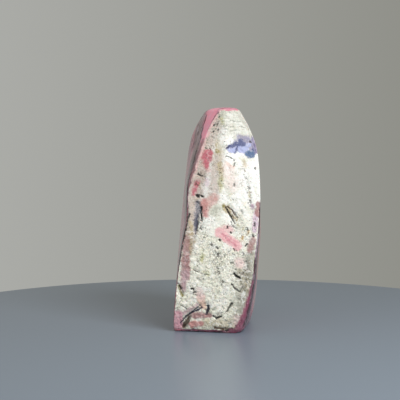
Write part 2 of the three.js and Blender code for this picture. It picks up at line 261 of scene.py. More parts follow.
# Cracks, pits, cavities and strong dots on the pale face.
FACE_STROKES = marks({
    "black": (
        ((0.4, 109.8), (0.1, 109.2), 0.34, 0.2, 0.9, 0.3),
        ((-0.4, 106.5), (-0.8, 106), 0.36, 0.2, 0.8, 0.2),
        ((-2.3, 105.8), (-2.7, 105.2), 0.36, 0.2, 0.85, 0.2),
        ((-1, 105.2), (-1.2, 104.8), 0.3, 0.2, 0.8, 0.2),
        ((-0.4, 103.4), (-0.6, 102.9), 0.38, 0.2, 0.9, 0.2),
        ((-2.7, 102.2), (-3.1, 101.8), 0.38, 0.2, 0.9, 0.3),
        ((16.6, 99.6), (17, 98.8), 0.4, 0.2, 0.85, 0.3),
        ((15.8, 97.2), (16.1, 96.6), 0.36, 0.2, 0.8, 0.2),
        ((18.1, 95.4), (18.4, 94.6), 0.42, 0.2, 0.9, 0.3),
        ((18.6, 92.6), (18.9, 91.6), 0.42, 0.2, 0.85, 0.3),
        ((-6.6, 93.8), (-6.3, 93.4), 0.3, 0.2, 0.8, 0.2),
        ((-4.8, 93.4), (-4.3, 92.8), 0.32, 0.2, 0.8, 0.2),
        ((18.3, 83.6), (18.5, 83), 0.42, 0.2, 0.9, 0.3),
        ((-10.7, 80.5), (-9.4, 79.6), 0.48, 0.2, 0.95, 0.5),
        ((-9.2, 79.5), (-7.2, 79.2), 0.3, 0.2, 0.85, 0.3),
        ((19.7, 69.6), (19.9, 69.2), 0.36, 0.2, 0.8, 0.2),
        ((-11.3, 69.6), (-10.6, 69), 0.75, 0.2, 1, 0.8),
        ((-9, 69.3), (-8.4, 69), 0.6, 0.2, 0.95, 0.6),
        ((-11.4, 66.4), (-10.4, 65.6), 0.4, 0.3, 0.9, 0.4),
        ((-10.4, 63.6), (-10, 62), 0.3, 0.3, 0.8, 0.4),
        ((-9.2, 63.8), (-9, 57), 0.5, 0.25, 1, 1, -0.2),
        ((-9.4, 53.6), (-9.1, 52.8), 0.42, 0.25, 0.9, 0.3),
        ((3.4, 63.6), (5.4, 60), 0.36, 0.18, 1, 0.7),
        ((5.4, 60), (8, 55.8), 0.42, 0.18, 1, 0.7, -0.2),
        ((6.2, 56.4), (6.4, 56), 0.45, 0.25, 0.7, 0.2),
        ((4.1, 54), (4.3, 53.2), 0.48, 0.2, 0.95, 0.3),
        ((6, 51.2), (6.4, 50.6), 0.48, 0.2, 0.95, 0.3),
        ((6.2, 55.2), (8.6, 53), 0.3, 0.3, 0.7, 0.2),
        ((0.3, 47.4), (0.5, 46.8), 0.5, 0.2, 0.95, 0.4),
        ((7.3, 42.8), (7.6, 42), 0.42, 0.2, 0.85, 0.3),
        ((13, 44.4), (14.2, 45.2), 0.42, 0.2, 0.9, 0.3),
        ((16.8, 49.6), (17.6, 48.8), 0.42, 0.2, 0.85, 0.3),
        ((17.9, 55.8), (18, 54.6), 0.5, 0.3, 0.85, 0.3),
        ((14.3, 53.2), (14.5, 52.2), 0.42, 0.3, 0.8, 0.3),
        ((12, 41), (12.4, 40.2), 0.36, 0.3, 0.75, 0.2),
        ((-3.9, 45.2), (-3.6, 44.6), 0.5, 0.3, 0.85, 0.3),
        ((-1.2, 43.6), (-0.6, 43), 0.45, 0.3, 0.85, 0.4),
        ((-0.7, 40.2), (-0.5, 38.8), 0.5, 0.35, 0.85, 0.5, -0.1),
        ((6.6, 40.4), (7.8, 39.8), 0.3, 0.3, 0.7, 0.2),
        ((6.2, 25.2), (7.8, 22.8), 0.36, 0.25, 0.85, 0.4),
        ((7.8, 22.8), (10.4, 21.4), 0.4, 0.25, 0.85, 0.4),
        ((10.4, 21.4), (11.8, 23.8), 0.34, 0.25, 0.75, 0.3),
        ((13.2, 27.8), (13.8, 27), 0.34, 0.25, 0.75, 0.2),
        ((-12.6, 21), (-12, 20.6), 0.5, 0.2, 0.95, 0.4),
        ((-14, 22.4), (-13.2, 22.2), 0.48, 0.2, 0.95, 0.4),
        ((-20, 23.6), (-19.4, 22.6), 0.5, 0.3, 0.85, 0.4),
        ((-15.4, 7.8), (-15.8, 6.8), 0.45, 0.3, 0.9, 0.5),
        ((-17.2, 3.6), (-18.2, 2.6), 0.5, 0.4, 0.9, 0.5),
        ((-3, 8.8), (-1.4, 7.6), 0.42, 0.2, 0.95, 0.6),
        ((-1.4, 7.6), (0.9, 8.6), 0.55, 0.2, 0.95, 0.6, -0.1),
    ),
    "grey": (
        ((-3.8, 99.6), (-2.6, 98.8), 0.4, 0.3, 0.6, 0.2),
        ((2.2, 105), (7.4, 104.6), 0.2, 0.25, 0.6, 0.15),
        ((6, 107.6), (11, 107), 0.2, 0.25, 0.6, 0.15),
        ((5.4, 102.4), (9, 102.8), 0.22, 0.25, 0.5, 0.15),
        ((10.4, 104.8), (13.6, 104), 0.22, 0.25, 0.6, 0.15),
        ((3.8, 89.6), (6, 88.9), 0.26, 0.2, 0.95, 0.2),
        ((6, 88.9), (7.8, 87.4), 0.34, 0.2, 0.95, 0.3),
        ((7.9, 86), (7.3, 84.8), 0.42, 0.3, 0.85, 0.2),
        ((7.8, 75.6), (7.9, 74.6), 0.45, 0.3, 0.85, 0.2),
        ((15, 74), (15.3, 73), 0.4, 0.4, 0.85, 0.3),
        ((15.7, 67.2), (15.8, 66.2), 0.45, 0.4, 0.85, 0.3),
        ((11.4, 62), (11.8, 60.8), 0.5, 0.4, 0.6, 0.2),
        ((2.4, 39.8), (2.8, 38.8), 0.36, 0.3, 0.7, 0.2),
        ((-1, 33.4), (-0.4, 32.8), 0.5, 0.4, 0.85, 0.3),
        ((-0.1, 31.2), (0.1, 30), 0.4, 0.35, 0.85, 0.2),
        ((1.5, 26.6), (2.1, 26), 0.45, 0.35, 0.85, 0.3),
        ((6, 35.6), (6.8, 36), 0.5, 0.4, 0.8, 0.3),
        ((-13.6, 32.4), (-10.6, 30.9), 0.28, 0.2, 0.95, 0.3),
        ((-10.6, 30.9), (-5.4, 29.6), 0.26, 0.2, 0.9, 0.3),
        ((-19.8, 14.2), (-16.4, 12), 0.26, 0.25, 0.8, 0.3),
        ((6.4, 15.4), (3.7, 11.2), 0.5, 0.3, 0.95, 0.6, -0.15),
    ),
    "ink": (
        ((4, 93.8), (5.2, 94.6), 0.42, 0.25, 0.9, 0.2),
        ((-11, 59.8), (-11.6, 57), 0.36, 0.3, 0.95, 0.5),
        ((-12.2, 57.6), (-12.4, 54.6), 0.34, 0.3, 0.9, 0.4),
        ((-11.2, 56.4), (-11.6, 52.2), 0.8, 0.4, 0.95, 0.6, -0.3),
        ((-11.9, 51.4), (-12, 49.6), 0.36, 0.3, 0.7, 0.2, -0.3),
        ((-5.6, 13.6), (-5.4, 12.4), 0.7, 0.3, 0.95, 0.8),
        ((-5.6, 12.2), (-6.4, 9.6), 0.55, 0.35, 0.95, 0.8),
        ((-9.5, 14.2), (-13.8, 10.4), 0.36, 0.2, 0.95, 0.4),
        ((-8.7, 12.9), (-13, 10.6), 0.42, 0.2, 0.95, 0.4),
        ((-9.6, 14.2), (-8.6, 12.9), 0.34, 0.2, 0.9, 0.3),
        ((-13.6, 10.5), (-16.9, 8), 0.55, 0.25, 0.95, 0.5),
        ((-16.9, 8), (-19.6, 4.4), 0.42, 0.3, 0.85, 0.4),
    ),
    "tan": (
        ((12.6, 87), (13.4, 84.6), 0.8, 0.8, 0.7),
    ),
    "umber": (
        ((-11.4, 77), (-12, 75), 0.35, 0.3, 0.7, 0.2),
        ((4.2, 64), (6.6, 62.2), 0.36, 0.18, 0.95, 0.5),
        ((6.6, 62.2), (9.2, 58.4), 0.4, 0.2, 0.95, 0.5, -0.2),
        ((5.8, 61), (7.6, 58.2), 0.2, 0.2, 0.7, 0.2),
        ((11.6, 30), (14, 32.6), 0.3, 0.3, 0.8, 0.2),
        ((-2.2, 2.5), (1.2, 2.3), 0.45, 0.3, 0.9, 0.2),
        ((1.2, 2.3), (4.4, 2.5), 0.55, 0.3, 0.9, 0.2, -0.2),
        ((-15.1, 8.2), (-16.2, 5), 0.9, 0.6, 0.85, 0.4),
        ((-16.2, 5.4), (-18, 2.8), 1.1, 0.6, 0.9, 0.4),
    ),
    "olive": (
        ((15.4, 71.4), (15.7, 68.6), 0.4, 0.6, 0.7, 0.2),
    ),
    "slate": (
        ((-10.9, 65.4), (-10.5, 61.4), 1.4, 0.9, 0.55, 0.3),
        ((-11.3, 60.2), (-12, 52), 1.2, 0.8, 0.6, 0.4, -0.3),
    ),
    "soot": (
        ((7.6, 30.2), (8.6, 29.4), 0.5, 0.3, 1, 0.7),
        ((8.6, 29.2), (10.4, 28.2), 0.6, 0.3, 1, 0.9, -0.1),
    ),
})

# Where the pale face is crowded with fine dark spatter. It shows as flakes, so these lay no flat colour.
SPATTER = marks({
    "soot": (
        ((-2, 106), (-9, 80), 4.6, 3, 0.45),
        ((-0.5, 109), (-3, 102), 1.6, 1.2, 0.9),
        ((-6.5, 98), (-2.5, 94), 1.8, 1.5, 0.7),
        ((-9.6, 81), (-8, 78.6), 1.6, 1, 0.9),
        ((-11.6, 76), (-10, 73), 1, 0.8, 0.8),
        ((1.2, 84), (0.6, 74), 1.4, 0.8, 0.8),
        ((15, 76), (15.8, 65), 1.4, 1, 0.9),
        ((-10.6, 66), (-10, 58), 2, 1, 0.9),
        ((-11.6, 58), (-11.4, 51), 1.8, 0.8, 0.9),
        ((-9.4, 56), (-7.6, 49), 2, 1.4, 0.8),
        ((7.6, 61), (12.6, 52.6), 1.8, 1.2, 0.7),
        ((12, 54), (15.6, 49), 2, 1.2, 0.9),
        ((3, 54.4), (8.4, 53), 1.2, 1, 0.8),
        ((16.6, 57), (17.6, 47), 1.4, 0.8, 0.8),
        ((-4.4, 46), (-0.6, 42), 1.8, 1, 0.9),
        ((-0.8, 43), (0.2, 29), 2.2, 1.2, 0.9),
        ((0.4, 28.6), (3, 25), 1.4, 1, 0.9),
        ((4.6, 41.6), (12.6, 39.6), 1.6, 1, 0.7),
        ((4.6, 36.8), (7.4, 34.4), 1.5, 1, 0.8),
        ((7.6, 31), (13.4, 24), 3, 1.6, 0.9),
        ((13, 36), (14.6, 22), 1.8, 1.2, 0.8),
        ((-14, 23), (-10.6, 20), 1.6, 1, 0.8),
        ((-20.6, 24.6), (-18.6, 19.6), 1, 0.8, 0.9),
        ((-17.6, 6.6), (-15.6, 3), 2, 1, 0.9),
        ((-6.6, 14), (-5.6, 9), 1.6, 0.8, 0.7),
    ),
})

# Streaks and edge lines over pale face and polished stone alike, with a painted highlight along the face's
# edge and painted contact shadow along the foot. Ends are (x, y, z).
EDGE_STREAKS = marks({
    "crown_pink": (
        ((-3.6, -19.8, 113), (-6.2, -22.2, 106), 4.4, 0.8, 0.95, 0, -1.2),
        ((-6.2, -22.2, 106), (-8.2, -25.2, 98), 3, 0.7, 0.95, 0, -1.6),
    ),
    "bevel_mauve": (
        ((-8.2, -26, 98), (-11.2, -28, 88), 1.2, 0.6, 0.8, 0, -0.3),
        ((-11.2, -28, 88), (-14.6, -29.8, 76), 0.8, 0.6, 0.7),
    ),
    "lilac": (
        ((-11, -22, 100), (-14.6, -26, 84), 0.35, 0.35, 0.6),
        ((-12.6, -18, 98), (-17, -24.6, 78), 0.3, 0.35, 0.55),
        ((-16.6, -31.5, 61), (-19.1, -33.6, 47), 0.35, 0.3, 0.8),
        ((-19.1, -33.6, 47), (-21, -34, 36), 0.35, 0.3, 0.8),
        ((-15.8, -25.4, 82), (-17.6, -27.8, 70), 0.4, 0.4, 0.7),
        ((19.8, -36.6, 50), (18.4, -38.4, 36), 0.45, 0.4, 0.7),
        ((18.9, -37, 38), (17.2, -39.2, 24), 0.3, 0.3, 0.6),
    ),
    "black": (
        ((-8, -14, 110), (-11.6, -20, 98), 0.4, 0.4, 0.85),
        ((-11.6, -20, 98), (-15.6, -25.4, 82), 0.35, 0.4, 0.8),
        ((-6.2, -17.6, 112), (-9.1, -22.8, 99.4), 0.5, 0.3, 0.95),
        ((-9.1, -22.8, 99.4), (-13.2, -26.6, 86), 0.5, 0.4, 0.9),
        ((-13.2, -26.6, 86), (-16, -29.2, 74.8), 0.5, 0.4, 0.9),
        ((-16.2, -29, 74.8), (-16.4, -31.2, 62), 0.6, 0.5, 0.9),
        ((-15.2, -33.2, 60), (-16.9, -34.8, 53), 0.6, 0.35, 0.95),
        ((-16.9, -34.8, 53), (-18.5, -35.6, 46), 0.8, 0.35, 0.95, 0, -0.2),
        ((-18.5, -35.6, 46), (-20.7, -35.8, 32), 0.55, 0.35, 0.9),
        ((-17.4, -30.4, 70), (-19.6, -31.6, 50), 0.5, 0.4, 0.9),
        ((-10.4, -14, 106), (-13.2, -18, 94), 0.35, 0.4, 0.8),
        ((-13.4, -13, 98), (-15.6, -17, 86), 0.35, 0.4, 0.7),
        ((-15, -20, 92), (-18.2, -24, 74), 0.4, 0.5, 0.8),
        ((19.8, -34.6, 48), (18.8, -37.4, 36), 0.5, 0.4, 0.9),
        ((18.8, -37.4, 36), (17.8, -38.4, 24), 0.45, 0.4, 0.9),
        # Along the foot's bottom edge this black is partly painted contact shadow and partly a black edge.
        ((-21.8, -33.6, 0), (-12.2, -34.8, 0), 0.65, 0.35, 0.95),
        ((-12.2, -34.8, 0), (0, -37.6, 0.2), 0.65, 0.35, 0.95),
        ((0, -37.6, 0.3), (3.6, -38.6, 1.3), 0.6, 0.35, 0.95),
        ((3.6, -38.6, 1.5), (7.6, -39.8, 2.6), 0.75, 0.35, 0.95),
        ((7.6, -39.8, 2.6), (8.6, -40.2, 4.4), 0.5, 0.3, 0.95),
    ),
    # Partly pale pink and partly a painted highlight along the face's edge.
    "edge_pink_highlight": (
        ((0.2, -24.8, 112.6), (-3.6, -25.6, 105.4), 0.7, 0.5, 0.85),
        ((-3.6, -25.6, 105.4), (-6.7, -26.8, 98), 0.7, 0.5, 0.85),
        ((-6.7, -26.8, 98), (-9.5, -28.4, 90), 0.65, 0.5, 0.8),
        ((-9.5, -28.4, 90), (-12.2, -30, 82), 0.65, 0.5, 0.8),
        ((-12.2, -30, 82), (-14.6, -31, 74), 0.6, 0.5, 0.7),
        ((0.8, -24.4, 113.6), (10.2, -24.6, 113.5), 0.5, 0.4, 0.7),
    ),
    "bone": (
        ((11.2, -24.6, 112.2), (14.9, -26.6, 105), 1.7, 0.6, 1),
        ((14.9, -26.6, 105), (17.4, -28, 99.6), 1.7, 0.6, 1),
    ),
    "violet": (
        ((18, -28.6, 98.4), (19.6, -30, 91.8), 1.5, 0.6, 0.9),
    ),
    "chalk": (
        ((20, -30.4, 89.4), (20.8, -32, 82), 1.7, 0.6, 1),
        ((20.8, -32, 82), (21, -34.4, 68), 1.6, 0.6, 1),
    ),
    "magenta": (
        ((16.9, -39.4, 27), (15.1, -40.2, 18), 0.6, 0.6, 0.6, 0, 0.5),
        ((15.1, -40.2, 18), (12.8, -40.8, 10), 1.3, 0.6, 0.85),
        ((12.8, -40.8, 9), (9.4, -40.2, 0.6), 1.9, 0.7, 0.9, 0, 0.6),
        ((17.4, -38.6, 16), (14.6, -38.4, 5), 0.6, 0.6, 0.7),
        ((6.4, -39.4, 0.4), (15, -37, 2), 2, 0.6, 0.95),
    ),
})

# Broad washes of colour on the polished stone; the grey and brown ones on the left side are partly painted
# reflection of the grey surroundings. Ends are (x, y, z).
SIDE_PATCHES = marks({
    # Partly the opal's own grey and partly painted reflection of the grey surroundings.
    "side_grey_and_reflection": (
        ((-7, -12, 110), (-9.6, -22, 98), 5, 3, 0.9),
        ((-9.6, -22, 98), (-13.4, -25, 86), 4.6, 3, 0.9),
        ((-11, -9, 100), (-16, -15, 76), 2.6, 3, 0.5),
    ),
    # Partly the opal's own brown and partly painted reflection of the grey surroundings.
    "side_brown_and_reflection": (
        ((-13.4, -25, 86), (-17.4, -28, 62), 4.6, 3, 0.85),
        ((-20.4, -29, 58), (-22.2, -31, 20), 2.4, 2.4, 0.75),
        ((-18.6, -34.6, 52), (-22.4, -34.8, 20), 1.8, 1.4, 0.8),
        ((-22.4, -34.8, 20), (-22.8, -33.6, 2), 1.4, 1.2, 0.6),
    ),
    "plum": (
        ((-17.4, -30, 72), (-20.4, -32, 38), 3, 1.6, 0.85),
    ),
    "side_dark": (
        ((21.2, -34.5, 62), (19, -37, 36), 5, 2.6, 0.95),
        ((19, -37, 36), (15.5, -38, 5), 5.4, 2.6, 0.95),
    ),
    "bright_pink": (
        ((-2, -20, 115), (8, -22, 115), 5, 2, 0.9),
    ),
})


def tint(colour):
    """A display colour of three numbers from 0 to 255 as the linear colour that a shader reads."""
    shown = Color([part / 255 for part in colour])
    return (*shown.from_srgb_to_scene_linear(), 1.0)


def colour_property(name, description, default):
    """A colour that the user can change, kept as three display numbers from 0 to 255."""
    return bpy.props.IntVectorProperty(
        name=name, description=description, default=default, size=3, min=0, max=255
    )


def length_property(name, description, default):
    """A length that the user can change."""
    return bpy.props.FloatProperty(name=name, description=description, default=default, unit="LENGTH")


def place_property(name, description, default):
    """A place in the scene that the user can change."""
    return bpy.props.FloatVectorProperty(
        name=name, description=description, default=default, subtype="TRANSLATION"
    )


class OpalSizes(bpy.types.PropertyGroup):
    """How fine the stone's mesh is and how deep its relief goes."""

    levels: bpy.props.IntProperty(
        name="Levels", description="How often the CAD surface is subdivided", default=1, min=0, max=2
    )
    cuts: bpy.props.IntProperty(
        name="Cuts", description="Further cuts through each face of the front", default=3, min=0, max=4
    )
    crease: bpy.props.FloatProperty(
        name="Crease", description="How sharp the front face's edges stay", default=0.55, subtype="FACTOR"
    )
    swell: length_property("Swell", "Depth of the front face's low waves", 0.3 * MM)
    plaster: length_property("Plaster", "Depth of the front face's short ridges", 0.5 * MM)
    grain: length_property("Grain", "Depth of the front face's grain", 0.16 * MM)
    pits: length_property("Pits", "Depth of the scattered pits", 0.32 * MM)
    chips: length_property("Chips", "Depth of the chips on the face's edges", 0.5 * MM)
    polish: length_property("Polish", "Depth of the polished sides' waves", 0.3 * MM)


class OpalColours(bpy.types.PropertyGroup):
    """The stone's colours, as display numbers from 0 to 255."""

    # Chalk also paints the highlights on the face's short ridges.
    chalk: colour_property("Chalk", "Brightest host rock", (240, 239, 235))
    host: colour_property("Host rock", "Common host rock", (220, 219, 206))
    bone: colour_property("Bone", "Greyer host rock of the upper right edge", (196, 194, 184))
    cream: colour_property("Cream", "Warm host rock of the lower half", (241, 238, 217))
    # Shade is greyer host rock in the face's tones and lines, and painted shade on the face's lower right.
    shade: colour_property("Shade", "Greyer host rock", (178, 178, 164))
    # Dun is painted shade on the face's lower right edge.
    lower_right_shade: colour_property("Dun", "Dull host rock of the lower right edge", (146, 142, 130))
    # Dusk is partly painted shade on the face's left part and partly host rock clouded with pinkish brown.
    dusk_and_painted_shade: colour_property("Dusk", "Host rock clouded with pinkish brown", (184, 164, 153))
    # Edge pink is partly a painted highlight along the face's edge.
    edge_pink_highlight: colour_property("Edge pink", "Pale pink along the face's edge", (218, 176, 176))
    moss: colour_property("Moss", "Pale yellow-green stain", (198, 196, 140))
    olive: colour_property("Olive", "Strong yellow-green stain", (146, 134, 74))
    ochre: colour_property("Ochre", "Rusty yellow stain", (192, 158, 106))
    tan: colour_property("Tan", "Brown-grey clay stain", (182, 166, 132))
    umber: colour_property("Umber", "Dark brown vein", (84, 60, 42))
    blossom: colour_property("Blossom", "Clear light pink opal", (231, 182, 184))
    hot_pink: colour_property("Hot pink", "Clear strong pink opal", (212, 134, 148))
    blush: colour_property("Blush", "Faint pink in the host rock", (230, 206, 202))
    coral: colour_property("Coral", "Fading warm pink", (200, 142, 138))
    peach: colour_property("Peach", "Faint orange pink", (218, 180, 162))
    rose: colour_property("Rose", "Dusty pink", (164, 122, 121))
    dusty_rose: colour_property("Dusty rose", "Pale greyish pink", (192, 160, 164))
    foot_pink: colour_property("Foot pink", "Clear pink at the foot's left corner", (204, 152, 164))
    lilac: colour_property("Lilac", "Pale violet pink", (206, 184, 198))
    drop_pink: colour_property("Drop pink", "The strongest pink in the host rock", (188, 102, 114))
    bright_pink: colour_property("Bright pink", "Polished pink on the crown", (204, 132, 150))
    crown_pink: colour_property("Crown pink", "Polished pink beside the crown", (230, 150, 168))
    bevel_mauve: colour_property("Bevel mauve", "Greyish pink down the left bevel", (150, 114, 118))
    magenta: colour_property("Magenta", "Polished pink by the foot", (146, 82, 104))
    deep_pink: colour_property("Deep pink", "Darker pink of the polished body", (148, 88, 104))
    body_pink: colour_property("Body pink", "Common pink of the polished body", (198, 120, 136))
    salmon: colour_property("Salmon", "Lighter pink of the polished body", (218, 158, 162))
    warm_cream: colour_property("Warm cream", "Cream of the polished body", (226, 194, 182))
    plum: colour_property("Plum", "Dark red-violet opal", (84, 46, 60))
    mauve: colour_property("Mauve", "Violet-grey opal", (150, 118, 140))
    violet: colour_property("Violet", "Greyish violet-blue opal", (136, 130, 160))
    # Side grey and side brown are partly the opal's own colour and partly painted reflection.
    side_grey_and_reflection: colour_property("Side grey", "Light brown-grey polished opal", (152, 135, 133))
    side_brown_and_reflection: colour_property("Side brown", "Dark brown-grey polished opal", (108, 85, 85))
    side_dark: colour_property("Side dark", "Dark violet-grey polished opal", (66, 52, 59))
    sky: colour_property("Sky", "Light blue opal", (168, 174, 210))
    indigo: colour_property("Indigo", "Dark blue opal", (72, 80, 124))
    deep_blue: colour_property("Deep blue", "Strong blue opal", (84, 106, 142))
    slate: colour_property("Slate", "Blue-grey cavity lining", (112, 116, 138))
    ink: colour_property("Ink", "Blue-black crack filling", (42, 36, 66))
    # Grey also paints the shadow lines along the face's short ridges.
    grey: colour_property("Grey", "Grey crack filling", (92, 92, 84))
    soot: colour_property("Soot", "Fine dark spatter", (54, 54, 44))
    # Black also paints the shade in deep pits and cracks, and partly the contact shadow along the foot.
    black: colour_property("Black", "Manganese black", (34, 30, 28))


class OpalStage(bpy.types.PropertyGroup):
    """The floor, the lights and the camera."""

    floor: colour_property("Floor", "Colour of the plain floor", (118, 129, 142))
    floor_grain: colour_property("Floor grain", "Faint second colour of the floor", (116, 126, 138))
    backdrop: colour_property("Backdrop", "Colour of the light from the left", (186, 187, 183))
    dim_backdrop: colour_property("Dim backdrop", "Colour of the light from the right", (142, 142, 134))
    around: bpy.props.FloatProperty(
        name="Around", description="Strength of the light all round", default=0.9, min=0.0
    )
    key: bpy.props.FloatProperty(
        name="Key", description="Power of the light from the upper right", default=3.0, unit="POWER"
    )
    key_size: length_property("Key size", "Side of the light from the upper right", 0.3)
    key_place: place_property("Key place", "Where the light from the upper right hangs", (0.26, -0.34, 0.36))
    fill: bpy.props.FloatProperty(
        name="Fill", description="Power of the light from the left", default=0.4, unit="POWER"
    )
    fill_size: length_property("Fill size", "Side of the light from the left", 0.4)
    fill_place: place_property("Fill place", "Where the light from the left hangs", (-0.45, -0.3, 0.3))
    floor_radius: length_property("Floor radius", "Radius of the round floor", 0.2)
    floor_ahead: length_property("Floor ahead", "How far before the stone the floor's middle lies", 0.047)
    eye: place_property("Eye", "Where the camera stands", (-0.00963, -0.4894, 0.0926))
    tilt: bpy.props.FloatProperty(
        name="Tilt", description="How far the camera looks down", default=math.radians(3.17), subtype="ANGLE"
    )
    lens: bpy.props.FloatProperty(
        name="Lens", description="Focal length for a frame 36 mm wide", default=81.0, unit="CAMERA"
    )


# The stone's mesh

def front_faces(mesh):
    """The bmesh faces of the pale front: all that the polished rest, grown from the back, doesn't reach."""
    def turned_away(face):
        return face.normal.angle(FRONT_WAY) > FRONT_ANGLE

    start = max(mesh.faces, key=lambda face: face.calc_center_median().y)
    polished = {start}
    waiting = [start]
    while waiting:
        face = waiting.pop()
        for edge in face.edges:
            for other in edge.link_faces:
                if other not in polished and turned_away(other):
                    polished.add(other)
                    waiting.append(other)
    return {face for face in mesh.faces if face not in polished}


def base_mesh(sizes):
    """A clean quad copy of the CAD solid, its front face marked with the attribute rind."""
    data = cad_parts[CAD_NODE].data.copy()
    data.materials.clear()
    mesh = bmesh.new()
    mesh.from_mesh(data)
    bmesh.ops.remove_doubles(mesh, verts=mesh.verts, dist=WELD)
    bmesh.ops.join_triangles(
        mesh,
        faces=mesh.faces,
        angle_face_threshold=JOIN_ACROSS,
        angle_shape_threshold=JOIN_CORNERS,
    )
    mesh.normal_update()
    front = front_faces(mesh)
    crease = mesh.edges.layers.float.new("crease_edge")
    for edge in mesh.edges:
        if len({face in front for face in edge.link_faces}) == 2:
            edge[crease] = sizes.crease
    rind = mesh.verts.layers.float.new("rind")
    for vert in mesh.verts:
        vert[rind] = sum(face in front for face in vert.link_faces) / len(vert.link_faces)
    mesh.to_mesh(data)
    mesh.free()
    return data


def subdivided(data, levels):
    """The mesh with a Subdivision Surface applied to it."""
    base = bpy.data.objects.new("stone_base", data)
    bpy.context.scene.collection.objects.link(base)
    surface = base.modifiers.new("Smooth", "SUBSURF")
    surface.levels = levels
    surface.render_levels = levels
    bpy.context.view_layer.update()
    evaluated = base.evaluated_get(bpy.context.evaluated_depsgraph_get())
    fine = bpy.data.meshes.new_from_object(evaluated)
    bpy.data.objects.remove(base)
    return fine


def stroke_distance(place, mark):
    """How far a place is outside a mark's full width, in millimetres, and negative inside it."""
    start = Vector(mark.start)
    reach = Vector(mark.end) - start
    share = max(0.0, min(1.0, (place - start).dot(reach) / reach.length_squared))
    return (place - start - reach * share).length - mark.half - mark.taper * share


def cut_depth(place):
    """Depth in millimetres of the cracks and pits at a place in millimetres on the front face."""
    drift = noise.noise_vector(place * 0.9) * 0.35
    flat = Vector((place.x + drift.x, place.z + drift.z))
    deepest = 0.0
    for mark in FACE_STROKES:
        across, along = abs(flat.x - mark.start[0]), abs(flat.y - mark.start[1])
        if mark.depth and across < STROKE_REACH and along < STROKE_REACH:
            share = max(0.0, min(1.0, 0.5 - stroke_distance(flat, mark) / STROKE_WALL))
            deepest = max(deepest, mark.depth * share * share * (3 - 2 * share))
    return deepest


def pit_share(place):
    """How deep in one of the scattered pits a place is, from 0 to 1."""
    distances, points = noise.voronoi(place * PIT_CELLS)
    chosen = noise.cell(points[0] * 7.3) > PITLESS
    return max(0.0, 1 - distances[0] / PIT_RADIUS) if chosen else 0.0


def relief(place, rind, sizes):
    """How far a place on the surface sinks in, in metres, and how much of that is an open cavity."""
    swell = 0.5 + 0.5 * noise.fractal(place * 0.085, 0.8, 2.1, 4)
    short = abs(noise.fractal(place * 0.32 + Vector((3, 5, 7)), 0.9, 2.2, 3))
    grain = 0.5 + 0.5 * noise.fractal(place * 0.9, 0.5, 2.2, 3)
    worn = 0.45 + 0.55 * max(0.0, min(1.0, (58 - place.z) / 30))
    cavity = cut_depth(place) * MM + sizes.pits * pit_share(place)
    rough = sizes.swell * swell + sizes.plaster * short * worn + sizes.grain * grain + cavity
    wave = sizes.polish * (0.5 + 0.5 * noise.noise(place * 0.05))
    on_edge = max(0.0, 1 - abs(rind - 0.5) / 0.5)
    chip = max(0.0, noise.fractal(place * 0.3, 0.7, 2.0, 3) - 0.12)
    depth = rough * rind + wave * (1 - rind) + sizes.chips * chip * on_edge * 2.2
    return depth, cavity * rind


def carve(data, sizes):
    """Cuts the front finer, sinks the relief into it and keeps how open each place is as cavity, for painted
    shade in the pits and cracks.
    """
    noise.seed_set(NOISE_SEED)
    mesh = bmesh.new()
    mesh.from_mesh(data)
    rind = mesh.verts.layers.float["rind"]
    front = [face for face in mesh.faces if all(vert[rind] > 0.3 for vert in face.verts)]
    edges = list(dict.fromkeys(edge for face in front for edge in face.edges))
    if sizes.cuts:
        bmesh.ops.subdivide_edges(mesh, edges=edges, cuts=sizes.cuts, use_grid_fill=True)
    mesh.normal_update()
    cavities = mesh.verts.layers.float.new("cavity")
    rind = mesh.verts.layers.float["rind"]
    for vert in mesh.verts:
        depth, cavity = relief(vert.co / MM, vert[rind], sizes)
        vert[cavities] = min(1.0, cavity / DARK_CAVITY)
        stays = min(1.0, max(0.0, vert.co.z / FLAT_FOOT - 1))
        vert.co -= vert.normal * depth * stays
    for face in mesh.faces:
        face.smooth = True
    mesh.to_mesh(data)
    mesh.free()


# Shader nodes

def add_node(tree, kind, inputs=None, **settings):
    """Adds a node, with its settings, and its inputs set or linked by name or number."""
    made = tree.nodes.new(kind)
    for name, value in settings.items():
        setattr(made, name, value)
    for key, value in (inputs or {}).items():
        if isinstance(value, bpy.types.NodeSocket):
            tree.links.new(value, made.inputs[key])
        else:
            made.inputs[key].default_value = value
    return made


def calculate(tree, operation, *values):
    """A Math node's result."""
    return add_node(tree, "ShaderNodeMath", dict(enumerate(values)), operation=operation).outputs[0]


def vector(tree, operation, *values):
    """A Vector Math node's vector."""
    return add_node(tree, "ShaderNodeVectorMath", dict(enumerate(values)), operation=operation).outputs[0]


def spread(tree, value, low, high, bottom=0.0, top=1.0):
    """A value that runs smoothly from bottom to top as another runs from low to high, and stays there.

    Smoothstep keeps to its ends without the node's clamp, which would use up the shader's memory here.
    """
    inputs = {"Value": value, "From Min": low, "From Max": high, "To Min": bottom, "To Max": top}
    made = add_node(tree, "ShaderNodeMapRange", inputs, interpolation_type="SMOOTHSTEP", clamp=False)
    return made.outputs[0]


def mixed(tree, share, under, over):
    """One colour laid over another."""
    return add_node(tree, "ShaderNodeMix", {0: share, 6: under, 7: over}, data_type="RGBA").outputs[2]


def washed(tree, colour, over, *shares):
    """A colour with another laid over it by the product of two or more shares."""
    share = shares[0]
    for other in shares[1:]:
        share = calculate(tree, "MULTIPLY", share, other)
    return mixed(tree, share, colour, over)


def clouds(tree, place, scale, detail=3.0, rough=0.55, bend=0.0):
    """A noise texture's value, with its scale in waves for each millimetre."""
    inputs = {"Vector": place, "Scale": scale, "Detail": detail, "Roughness": rough, "Distortion": bend}
    return add_node(tree, "ShaderNodeTexNoise", inputs).outputs[0]


